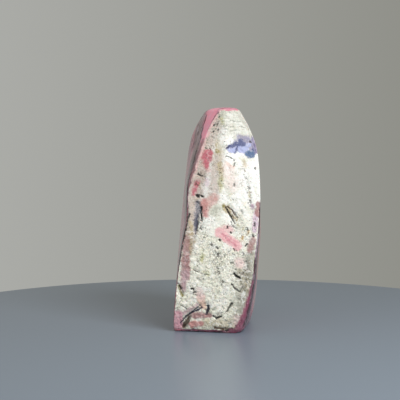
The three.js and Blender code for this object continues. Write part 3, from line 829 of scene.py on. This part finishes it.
def drifted(tree, place, scale, reach, detail=2.0):
    """A place moved at random, mostly by less than a fifth of reach, in millimetres."""
    inputs = {"Vector": place, "Scale": scale, "Detail": detail}
    colour = add_node(tree, "ShaderNodeTexNoise", inputs).outputs[1]
    centred = vector(tree, "SUBTRACT", colour, (0.5, 0.5, 0.5))
    scaled = vector(tree, "MULTIPLY", centred, (reach, reach, reach))
    return vector(tree, "ADD", place, scaled)


def dots(tree, place, scale, radius, share):
    """Round dots on a random share of the cells of a Voronoi texture, as a value from 0 to 1."""
    cells = add_node(tree, "ShaderNodeTexVoronoi", {"Vector": place, "Scale": scale, "Randomness": 1.0})
    near = spread(tree, cells.outputs["Distance"], radius, radius * 0.45)
    pick = add_node(tree, "ShaderNodeSeparateColor", {0: cells.outputs["Color"]}).outputs[0]
    chosen = calculate(tree, "LESS_THAN", pick, share)
    return calculate(tree, "MULTIPLY", near, chosen)


def cracks(tree, place, scale, width, strength):
    """Thin lines along the borders of a Voronoi texture's cells."""
    inputs = {"Vector": place, "Scale": scale, "Randomness": 1.0}
    cells = add_node(tree, "ShaderNodeTexVoronoi", inputs, feature="DISTANCE_TO_EDGE")
    return spread(tree, cells.outputs["Distance"], width, width * 0.3, 0.0, strength)


def colour_ramp(tree, value, stops):
    """A ramp through colours at the given values."""
    ramp = add_node(tree, "ShaderNodeValToRGB", {0: value})
    elements = ramp.color_ramp.elements
    while len(elements) < len(stops):
        elements.new(1.0)
    for element, (position, colour) in zip(elements, stops):
        element.position = position
        element.color = colour
    return ramp.outputs[0]


def mark_group():
    """The node group that gives how much of a mark covers a place."""
    tree = bpy.data.node_groups.new("stone mark", "ShaderNodeTree")
    sockets = (
        ("Place", "INPUT", "NodeSocketVector"),
        ("Ragged", "INPUT", "NodeSocketFloat"),
        ("Start", "INPUT", "NodeSocketVector"),
        ("Reach", "INPUT", "NodeSocketVector"),
        ("Reach by length squared", "INPUT", "NodeSocketVector"),
        ("Taper", "INPUT", "NodeSocketFloat"),
        ("Outer", "INPUT", "NodeSocketFloat"),
        ("Inner", "INPUT", "NodeSocketFloat"),
        ("Strength", "INPUT", "NodeSocketFloat"),
        ("Cover", "OUTPUT", "NodeSocketFloat"),
    )
    for name, way, kind in sockets:
        tree.interface.new_socket(name=name, in_out=way, socket_type=kind)
    given = tree.nodes.new("NodeGroupInput").outputs
    result = tree.nodes.new("NodeGroupOutput").inputs
    away = vector(tree, "SUBTRACT", given["Place"], given["Start"])
    along = add_node(
        tree, "ShaderNodeVectorMath", {0: away, 1: given["Reach by length squared"]}, operation="DOT_PRODUCT"
    ).outputs["Value"]
    share = calculate(tree, "MINIMUM", calculate(tree, "MAXIMUM", along, 0.0), 1.0)
    nearest = add_node(
        tree, "ShaderNodeVectorMath", {0: given["Reach"], "Scale": share}, operation="SCALE"
    ).outputs[0]
    gap = vector(tree, "SUBTRACT", away, nearest)
    length = add_node(tree, "ShaderNodeVectorMath", {0: gap}, operation="LENGTH").outputs["Value"]
    narrowing = calculate(tree, "MULTIPLY", share, given["Taper"])
    distance = calculate(tree, "SUBTRACT", calculate(tree, "ADD", length, given["Ragged"]), narrowing)
    cover = spread(tree, distance, given["Outer"], given["Inner"])
    tree.links.new(calculate(tree, "MULTIPLY", cover, given["Strength"]), result["Cover"])
    return tree


def mark_cover(tree, group, place, ragged, mark):
    """How much of one mark covers a place."""
    start, end = (Vector(p) if len(p) == 3 else Vector((p[0], 0, p[1])) for p in (mark.start, mark.end))
    reach = end - start
    inputs = {
        "Place": place,
        "Ragged": ragged,
        "Start": start,
        "Reach": reach,
        "Reach by length squared": reach / reach.length_squared,
        "Taper": mark.taper,
        "Outer": mark.half + mark.soft,
        "Inner": mark.half - mark.soft,
        "Strength": mark.strength,
    }
    return add_node(tree, "ShaderNodeGroup", inputs, node_tree=group).outputs["Cover"]


def marks_share(tree, group, place, ragged, marks):
    """How much of a list of marks covers a place: the strongest of them."""
    share = 0.0
    for mark in marks:
        share = calculate(tree, "MAXIMUM", share, mark_cover(tree, group, place, ragged, mark))
    return share


def lay_marks(tree, group, place, ragged, under, marks, tints):
    """Lays marks over a colour, colour by colour in the order of the list, and gives what they cover."""
    covered = 0.0
    for name in dict.fromkeys(mark.colour for mark in marks):
        like = [mark for mark in marks if mark.colour == name]
        share = marks_share(tree, group, place, ragged, like)
        under = mixed(tree, share, under, tints[name])
        covered = calculate(tree, "MAXIMUM", covered, share)
    return under, covered


def ragged_edge(tree, place, scale, reach):
    """A random distance, in millimetres, that frays the edges of marks."""
    return calculate(tree, "MULTIPLY_ADD", clouds(tree, place, scale, 4.0, 0.65), reach, -reach / 2)


def host_rock_colour(tree, group, place, tints):
    """The pale speckled face: tones of host rock, stains, opal patches, specks and cracks, with painted
    shade and highlights.
    """
    flat = vector(tree, "MULTIPLY", place, (1.0, 0.0, 1.0))
    height = add_node(tree, "ShaderNodeSeparateXYZ", {0: place}).outputs["Z"]
    low_down = spread(tree, height, 62.0, 44.0)

    tone = clouds(tree, place, 0.12, 4.0, 0.6, 0.6)
    colour = colour_ramp(
        tree, tone, ((0.24, tints["shade"]), (0.37, tints["host"]), (0.54, tints["chalk"]))
    )
    creamy = spread(tree, height, 66.0, 40.0, 0.0, 0.65)
    colour = mixed(tree, creamy, colour, tints["cream"])
    mottle = spread(tree, clouds(tree, place, 0.7, 5.0, 0.7), 0.52, 0.68, 0.0, 0.5)
    colour = mixed(tree, mottle, colour, tints["shade"])
    flecks = spread(tree, clouds(tree, place, 1.6, 4.0, 0.7), 0.54, 0.64, 0.0, 0.4)
    colour = washed(tree, colour, tints["shade"], flecks, low_down)
    green = spread(tree, clouds(tree, place, 0.22, 3.0, 0.6, 1.0), 0.56, 0.68, 0.0, 0.2)
    colour = mixed(tree, green, colour, tints["moss"])

    loose = drifted(tree, drifted(tree, flat, 0.14, 5.0), 0.7, 1.8, 3.0)
    frayed = ragged_edge(tree, flat, 0.6, 2.4)
    colour, _ = lay_marks(tree, group, loose, frayed, colour, FACE_STAINS, tints)
    steady = drifted(tree, drifted(tree, flat, 0.3, 2.6), 1.2, 1.0)
    smoother = ragged_edge(tree, flat, 1.0, 1.2)
    colour, opal_share = lay_marks(tree, group, steady, smoother, colour, FACE_OPALS, tints)
    open_rock = calculate(tree, "MULTIPLY_ADD", opal_share, -0.8, 1.0)

    # Painted highlights on the short ridges and painted shadow lines along their edges, low on the open
    # rock.
    folds = clouds(tree, drifted(tree, place, 0.25, 5.0, 3.0), 0.26, 3.0, 0.5, 1.0)
    on_rock = calculate(tree, "MULTIPLY", low_down, open_rock)
    painted_ridge_highlight = spread(tree, folds, 0.52, 0.6, 0.0, 0.6)
    colour = washed(tree, colour, tints["chalk"], painted_ridge_highlight, on_rock)
    fold_edge = calculate(tree, "ABSOLUTE", calculate(tree, "SUBTRACT", folds, 0.51))
    painted_ridge_shadow = spread(tree, fold_edge, 0.016, 0.004, 0.0, 0.75)
    gaps = spread(tree, clouds(tree, place, 0.45, 3.0), 0.44, 0.56)
    colour = washed(tree, colour, tints["grey"], painted_ridge_shadow, gaps, on_rock)

    streaks = spread(tree, clouds(tree, place, 0.5, 4.0, 0.6, 1.5), 0.52, 0.68, 0.0, 0.4)
    fewer = calculate(tree, "MULTIPLY_ADD", opal_share, -0.5, 1.0)
    colour = washed(tree, colour, tints["chalk"], streaks, fewer)

    stretched = vector(tree, "MULTIPLY", place, (0.25, 0.25, 1.6))
    saw_lines = spread(tree, clouds(tree, stretched, 0.9, 3.0), 0.46, 0.66, 0.0, 0.7)
    on_top = spread(tree, height, 96.0, 104.0)
    colour = washed(tree, colour, tints["shade"], saw_lines, on_top)

    bent = drifted(tree, place, 0.5, 3.0, 3.0)
    crowd = spread(tree, clouds(tree, place, 0.1, 3.0), 0.44, 0.6)
    crowd = calculate(tree, "MAXIMUM", crowd, calculate(tree, "MULTIPLY", low_down, 0.7))
    crowd = calculate(tree, "MULTIPLY", crowd, open_rock)
    network = calculate(tree, "MULTIPLY", cracks(tree, bent, 0.3, 0.045, 0.6), crowd)
    broken = spread(tree, clouds(tree, place, 0.5, 3.0), 0.47, 0.57)
    colour = washed(tree, colour, tints["grey"], network, broken)

    soft_specks = dots(tree, drifted(tree, place, 1.0, 2.4), 0.7, 0.36, 0.3)
    colour = washed(tree, colour, tints["olive"], soft_specks, crowd, 0.5)
    hard_specks = dots(tree, drifted(tree, place, 1.6, 1.4), 1.0, 0.36, 0.3)
    colour = washed(tree, colour, tints["grey"], hard_specks, crowd, 0.8)
    crumbs = spread(tree, clouds(tree, bent, 0.8, 5.0, 0.8), 0.59, 0.63, 0.0, 0.85)
    colour = washed(tree, colour, tints["soot"], crumbs, crowd)
    pepper = dots(tree, drifted(tree, place, 2.0, 0.7), 0.6, 0.2, 0.3)
    colour = washed(tree, colour, tints["black"], pepper, 0.8)
    spattered = marks_share(tree, group, loose, frayed, SPATTER)
    flakes = spread(tree, clouds(tree, place, 1.3, 4.0, 0.8, 0.4), 0.54, 0.58)
    colour = washed(tree, colour, tints["soot"], flakes, spattered)

    tight = drifted(tree, drifted(tree, flat, 0.5, 1.6), 2.0, 0.7, 3.0)
    worn = ragged_edge(tree, flat, 1.6, 0.8)
    colour, _ = lay_marks(tree, group, tight, worn, colour, FACE_STROKES, tints)
    # Painted shade: the deeper pits and cracks are darkened towards black by their depth.
    cavity = add_node(tree, "ShaderNodeAttribute", attribute_name="cavity").outputs["Fac"]
    return mixed(tree, spread(tree, cavity, 0.5, 1.0, 0.0, 0.5), colour, tints["black"])


def polished_colour(tree, group, place, tints):
    """The polished opal: clouds of pink, mauve and cream, drawn out upwards, with dark veins."""
    drawn = vector(tree, "MULTIPLY", drifted(tree, place, 0.035, 26.0, 3.0), (1.0, 1.0, 0.45))
    body = clouds(tree, drawn, 0.06, 6.0, 0.6, 0.8)
    colour = colour_ramp(
        tree,
        body,
        (
            (0.30, tints["plum"]),
            (0.42, tints["deep_pink"]),
            (0.50, tints["body_pink"]),
            (0.58, tints["salmon"]),
            (0.66, tints["warm_cream"]),
            (0.76, tints["mauve"]),
        ),
    )
    violet = spread(tree, clouds(tree, drawn, 0.045, 3.0, 0.5, 1.5), 0.58, 0.7, 0.0, 0.65)
    colour = mixed(tree, violet, colour, tints["mauve"])
    for scale, width, strength in ((0.05, 0.012, 0.9), (0.11, 0.009, 0.7)):
        wave = clouds(tree, drawn, scale, 5.0, 0.55, 1.2)
        ridge = calculate(tree, "ABSOLUTE", calculate(tree, "SUBTRACT", wave, 0.5))
        vein = spread(tree, ridge, width, width * 0.2, 0.0, strength)
        broken = spread(tree, clouds(tree, place, 0.09, 2.0), 0.44, 0.6)
        colour = washed(tree, colour, tints["ink"], vein, broken)

    loose = drifted(tree, place, 0.35, 3.0, 3.0)
    frayed = ragged_edge(tree, place, 0.3, 3.0)
    # The left side's grey and brown washes are partly painted reflection.
    colour, _ = lay_marks(tree, group, loose, frayed, colour, SIDE_PATCHES, tints)
    fibre = vector(tree, "MULTIPLY", loose, (1.0, 1.0, 0.12))
    light_fibres = spread(tree, clouds(tree, fibre, 0.5, 4.0, 0.6), 0.56, 0.68, 0.0, 0.35)
    colour = mixed(tree, light_fibres, colour, tints["lilac"])
    dark_fibres = spread(tree, clouds(tree, fibre, 0.42, 4.0, 0.6, 0.5), 0.58, 0.68, 0.0, 0.6)
    colour = mixed(tree, dark_fibres, colour, tints["plum"])
    specks = dots(tree, drifted(tree, place, 1.2, 1.6), 0.45, 0.2, 0.3)
    return washed(tree, colour, tints["black"], specks, 0.7)


def stone_material(colours):
    """Pale host rock on the rind and polished opal on the rest, in one shader."""
    material = bpy.data.materials.new("pink opal and host rock")
    material.use_nodes = True
    tree = material.node_tree
    shader = tree.nodes["Principled BSDF"]
    tints = {name: tint(getattr(colours, name)) for name in OpalColours.__annotations__}
    group = mark_group()

    coordinates = add_node(tree, "ShaderNodeTexCoord").outputs["Object"]
    place = vector(tree, "MULTIPLY", coordinates, (1 / MM, 1 / MM, 1 / MM))
    rind = add_node(tree, "ShaderNodeAttribute", attribute_name="rind").outputs["Fac"]
    ragged = calculate(tree, "MULTIPLY_ADD", clouds(tree, place, 0.6, 4.0, 0.6), 0.5, -0.25)
    pale = spread(tree, calculate(tree, "ADD", rind, ragged), 0.42, 0.58)

    host = host_rock_colour(tree, group, place, tints)
    opal = polished_colour(tree, group, place, tints)
    streaked = drifted(tree, drifted(tree, place, 0.3, 2.0), 1.5, 0.8)
    thin = ragged_edge(tree, place, 0.8, 1.0)
    joined = mixed(tree, pale, opal, host)
    colour, _ = lay_marks(tree, group, streaked, thin, joined, EDGE_STREAKS, tints)
    upright = vector(tree, "MULTIPLY", streaked, (1.0, 1.0, 0.3))
    veil = spread(tree, clouds(tree, upright, 0.35, 4.0, 0.6, 1.0), 0.46, 0.66, 0.0, 0.25)
    polished = calculate(tree, "SUBTRACT", 1.0, pale)
    colour = washed(tree, colour, tints["lilac"], veil, polished)
    tree.links.new(colour, shader.inputs["Base Color"])

    dull = clouds(tree, place, 0.5, 4.0, 0.6)
    host_roughness = spread(tree, dull, 0.3, 0.7, 0.5, 0.68)
    opal_roughness = spread(tree, dull, 0.35, 0.7, 0.13, 0.24)
    gap = calculate(tree, "SUBTRACT", host_roughness, opal_roughness)
    tree.links.new(calculate(tree, "MULTIPLY_ADD", gap, pale, opal_roughness), shader.inputs["Roughness"])

    grain = calculate(tree, "MULTIPLY", clouds(tree, place, 2.2, 5.0, 0.7), pale)
    bump = add_node(tree, "ShaderNodeBump", {"Height": grain, "Distance": 0.12 * MM, "Strength": 0.6})
    tree.links.new(bump.outputs[0], shader.inputs["Normal"])

    for name, value in STONE_FINISH.items():
        shader.inputs[name].default_value = value
    return material


def floor_material(stage):
    """The plain floor's soft pale finish, with a hardly visible grain."""
    material = bpy.data.materials.new("plain floor")
    material.use_nodes = True
    tree = material.node_tree
    shader = tree.nodes["Principled BSDF"]
    coordinates = add_node(tree, "ShaderNodeTexCoord").outputs["Object"]
    tone = spread(tree, clouds(tree, coordinates, 30.0, 3.0), 0.3, 0.7, 0.0, 0.03)
    colour = mixed(tree, tone, tint(stage.floor), tint(stage.floor_grain))
    tree.links.new(colour, shader.inputs["Base Color"])
    shader.inputs["Roughness"].default_value = FLOOR_ROUGHNESS
    return material


class OPAL_OT_add_stone(bpy.types.Operator):
    """Make the stone over its CAD solid, with its relief and its finish."""

    bl_idname = "opal.add_stone"
    bl_label = "Add the Stone"

    def execute(self, context):
        sizes = context.scene.opal_sizes
        data = subdivided(base_mesh(sizes), sizes.levels)
        carve(data, sizes)
        data.name = STONE_NAME
        data.materials.append(stone_material(context.scene.opal_colours))
        stone = bpy.data.objects.new(STONE_NAME, data)
        context.scene.collection.objects.link(stone)
        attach(stone, "root")
        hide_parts(CAD_NODE)
        return {"FINISHED"}


class OPAL_OT_add_stage(bpy.types.Operator):
    """Make the plain floor, the soft lights and the camera."""

    bl_idname = "opal.add_stage"
    bl_label = "Add the Stage"

    def execute(self, context):
        stage = context.scene.opal_stage
        self.add_floor(context, stage)
        self.add_light(context, "key light", stage.key_place, stage.key_size, stage.key)
        self.add_light(context, "fill light", stage.fill_place, stage.fill_size, stage.fill)
        context.scene.world = self.soft_studio(stage)
        context.scene.view_settings.view_transform = "Standard"
        self.add_camera(context, stage)
        return {"FINISHED"}

    def soft_studio(self, stage):
        """Plain light all round, a little dimmer from the right."""
        world = bpy.data.worlds.new("soft studio")
        world.use_nodes = True
        tree = world.node_tree
        direction = add_node(tree, "ShaderNodeTexCoord").outputs["Generated"]
        across = add_node(tree, "ShaderNodeSeparateXYZ", {0: direction}).outputs["X"]
        dimmer = spread(tree, across, -0.5, 0.5)
        colour = mixed(tree, dimmer, tint(stage.backdrop), tint(stage.dim_backdrop))
        background = tree.nodes["Background"]
        tree.links.new(colour, background.inputs["Color"])
        background.inputs["Strength"].default_value = stage.around
        return world

    def add_floor(self, context, stage):
        """A round plain floor under the stone's foot."""
        mesh = bmesh.new()
        bmesh.ops.create_circle(mesh, cap_ends=True, segments=160, radius=stage.floor_radius)
        bmesh.ops.translate(mesh, verts=mesh.verts, vec=(0, -stage.floor_ahead, 0))
        data = bpy.data.meshes.new("floor")
        mesh.to_mesh(data)
        mesh.free()
        data.materials.append(floor_material(stage))
        floor = bpy.data.objects.new("floor", data)
        context.scene.collection.objects.link(floor)

    def add_light(self, context, name, place, size, power):
        """A square soft light that points at the stone's middle."""
        light = bpy.data.lights.new(name, "AREA")
        light.size = size
        light.energy = power
        lamp = bpy.data.objects.new(name, light)
        lamp.location = place
        middle = Vector((0, 0, cad_box[1].z / 2))
        lamp.rotation_euler = (middle - lamp.location).to_track_quat("-Z", "Y").to_euler()
        context.scene.collection.objects.link(lamp)

    def add_camera(self, context, stage):
        """The camera, where the photographer's was."""
        lens = bpy.data.cameras.new("camera")
        lens.lens = stage.lens
        lens.sensor_width = SENSOR_WIDTH
        camera = bpy.data.objects.new("camera", lens)
        camera.location = stage.eye
        camera.rotation_euler = (math.radians(90) - stage.tilt, 0, 0)
        context.scene.collection.objects.link(camera)
        context.scene.camera = camera


class OPAL_PT_sidebar(bpy.types.Panel):
    """Lists the steps that make the stone."""

    bl_idname = "OPAL_PT_sidebar"
    bl_label = "Pink Opal"
    bl_space_type = "VIEW_3D"
    bl_region_type = "UI"
    bl_category = "Pink Opal"

    def draw(self, context):
        for operator in OPERATORS:
            self.layout.operator(operator.bl_idname)
        for settings in (context.scene.opal_sizes, context.scene.opal_colours, context.scene.opal_stage):
            box = self.layout.box()
            for name in settings.__annotations__:
                box.prop(settings, name)


OPERATORS = (OPAL_OT_add_stone, OPAL_OT_add_stage)
SETTINGS = (("opal_sizes", OpalSizes), ("opal_colours", OpalColours), ("opal_stage", OpalStage))


def register():
    """Registers the settings, the operators and the panel."""
    for name, group in SETTINGS:
        bpy.utils.register_class(group)
        setattr(bpy.types.Scene, name, bpy.props.PointerProperty(type=group))
    for operator in OPERATORS:
        bpy.utils.register_class(operator)
    bpy.utils.register_class(OPAL_PT_sidebar)


def unregister():
    """Takes out what register put in, in the opposite order."""
    bpy.utils.unregister_class(OPAL_PT_sidebar)
    for operator in reversed(OPERATORS):
        bpy.utils.unregister_class(operator)
    for name, group in reversed(SETTINGS):
        delattr(bpy.types.Scene, name)
        bpy.utils.unregister_class(group)


def main():
    register()
    bpy.ops.opal.add_stone()
    bpy.ops.opal.add_stage()


if __name__ == "__main__":
    main()
